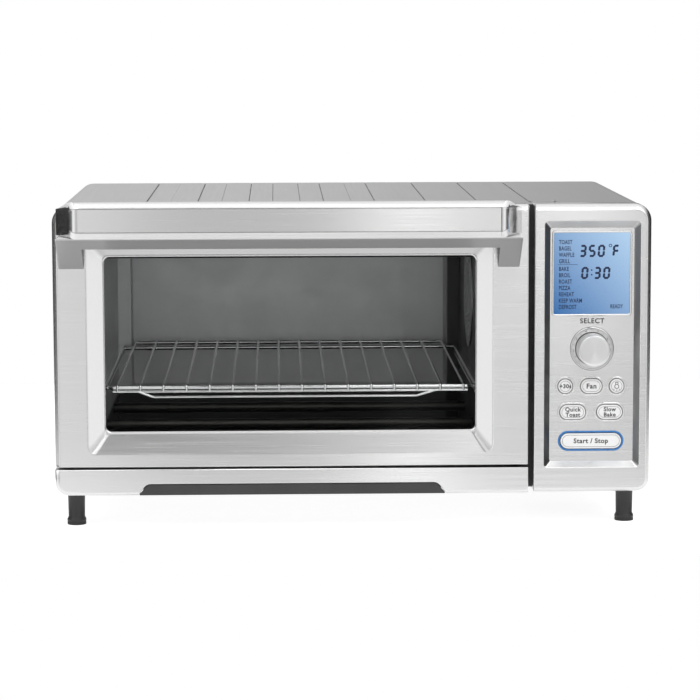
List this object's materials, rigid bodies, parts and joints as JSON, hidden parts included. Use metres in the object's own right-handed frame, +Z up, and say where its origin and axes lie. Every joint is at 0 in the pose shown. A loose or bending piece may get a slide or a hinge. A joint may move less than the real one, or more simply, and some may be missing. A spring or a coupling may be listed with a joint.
{
  "type": "toaster oven",
  "caption": "Countertop toaster oven with a drop-down glass door, slide-out rack and crumb tray, convection fan, display, selector knob and push buttons.",
  "frame": {"origin": "centre of the bounding box in X and Y, on the surface that the feet rest on", "axes": "+Z up, +X to the right when facing the door, the door faces -Y"},
  "size_m": [0.532, 0.43, 0.2955],
  "materials": {
    "brushed_steel": "brushed",
    "handle_metal": "brushed",
    "galvanised_steel": "satin",
    "dark_steel": "satin",
    "cavity_steel": "satin",
    "chrome_wire": "polished",
    "heater_sheath": "matte",
    "ceramic": "glazed",
    "clear_glass": "clear",
    "fan_aluminium": "plain",
    "screw_steel": "zinc plated",
    "display_silver": "satin",
    "display_clear": "clear",
    "display_blue": "lit",
    "ring_blue": "translucent",
    "button_plastic": "satin",
    "knob_aluminium": "spun",
    "circuit_green": "matte",
    "black_plastic": "matte",
    "black_rubber": "matte"
  },
  "bodies": {
    "housing": {"outer_wrap": "brushed_steel", "rear_panel": "galvanised_steel", "recess_cover": "galvanised_steel", "base_pan": "galvanised_steel", "base_front_panel": "brushed_steel", "front_frame": "dark_steel", "cavity_liner": "cavity_steel", "heat_shield": "galvanised_steel", "rack_guide_left": "chrome_wire", "rack_guide_right": "chrome_wire", "heater_upper_front": "heater_sheath", "heater_upper_rear": "heater_sheath", "heater_lower_front": "heater_sheath", "heater_lower_rear": "heater_sheath", "heater_holders": "ceramic", "fan_housing": "galvanised_steel", "fan_grille": "galvanised_steel", "fan_motor": "dark_steel", "motor_bracket": "galvanised_steel", "lamp_socket": "ceramic", "lamp_bulb": "clear_glass", "lamp_lens": "clear_glass", "temperature_probe": "heater_sheath", "control_frame": "brushed_steel", "control_panel": "brushed_steel", "display_bezel": "display_silver", "display_window": "display_clear", "display_lcd": "display_blue", "control_board": "circuit_green", "encoder": "screw_steel", "button_rings": "display_silver", "start_ring": "ring_blue", "power_board": "circuit_green", "cord_gland": "black_plastic", "foot_front_left": "black_plastic", "foot_front_right": "black_plastic", "foot_rear_left": "black_plastic", "foot_rear_right": "black_plastic", "foot_pads": "black_rubber", "rear_screws": "screw_steel", "foot_screws": "screw_steel"},
    "door": {"door_frame": "brushed_steel", "door_inner_panel": "dark_steel", "door_glass": "clear_glass", "glass_gasket": "black_rubber", "door_handle": "handle_metal", "handle_screws": "screw_steel", "hinge_pins": "screw_steel"},
    "rack": {"oven_rack": "chrome_wire"},
    "tray": {"crumb_tray": "dark_steel"},
    "knob": {"selector_knob": "knob_aluminium"},
    "fan": {"convection_fan": "fan_aluminium", "cooling_fan": "fan_aluminium", "fan_shaft": "screw_steel"},
    "button_add_time": {"button_add_time": "button_plastic"},
    "button_fan": {"button_fan": "button_plastic"},
    "button_lamp": {"button_lamp": "button_plastic"},
    "button_toast": {"button_toast": "button_plastic"},
    "button_bake": {"button_bake": "button_plastic"},
    "button_start": {"button_start": "button_plastic"}
  },
  "joints": [
    {"name": "door_hinge", "type": "hinge", "parent": "housing", "child": "door", "pos_m": [-0.053, -0.168, 0.0607], "axis": [1, 0, 0], "range_deg": [0, 90]},
    {"name": "rack_slide", "type": "slide", "parent": "housing", "child": "rack", "axis": [0, -1, 0], "range_m": [0, 0.1002]},
    {"name": "tray_slide", "type": "slide", "parent": "housing", "child": "tray", "axis": [0, -1, 0], "range_m": [0, 0.15]},
    {"name": "knob_turn", "type": "hinge", "parent": "housing", "child": "knob", "pos_m": [0.2139, -0.178, 0.1597], "axis": [0, -1, 0], "continuous": true},
    {"name": "fan_spin", "type": "hinge", "parent": "housing", "child": "fan", "pos_m": [0.145, 0.02, 0.192], "axis": [1, 0, 0], "continuous": true},
    {"name": "press_add_time", "type": "slide", "parent": "housing", "child": "button_add_time", "axis": [0, 1, 0], "range_m": [0, 0.0012], "stiffness_N_per_m": 600},
    {"name": "press_fan", "type": "slide", "parent": "housing", "child": "button_fan", "axis": [0, 1, 0], "range_m": [0, 0.0012], "stiffness_N_per_m": 600},
    {"name": "press_lamp", "type": "slide", "parent": "housing", "child": "button_lamp", "axis": [0, 1, 0], "range_m": [0, 0.0012], "stiffness_N_per_m": 600},
    {"name": "press_toast", "type": "slide", "parent": "housing", "child": "button_toast", "axis": [0, 1, 0], "range_m": [0, 0.0012], "stiffness_N_per_m": 600},
    {"name": "press_bake", "type": "slide", "parent": "housing", "child": "button_bake", "axis": [0, 1, 0], "range_m": [0, 0.0012], "stiffness_N_per_m": 600},
    {"name": "press_start", "type": "slide", "parent": "housing", "child": "button_start", "axis": [0, 1, 0], "range_m": [0, 0.0012], "stiffness_N_per_m": 600}
  ],
  "couplings": [
    {"joint": "rack_slide", "follows": "door_hinge", "m_per_rad": 0.0637}
  ]
}
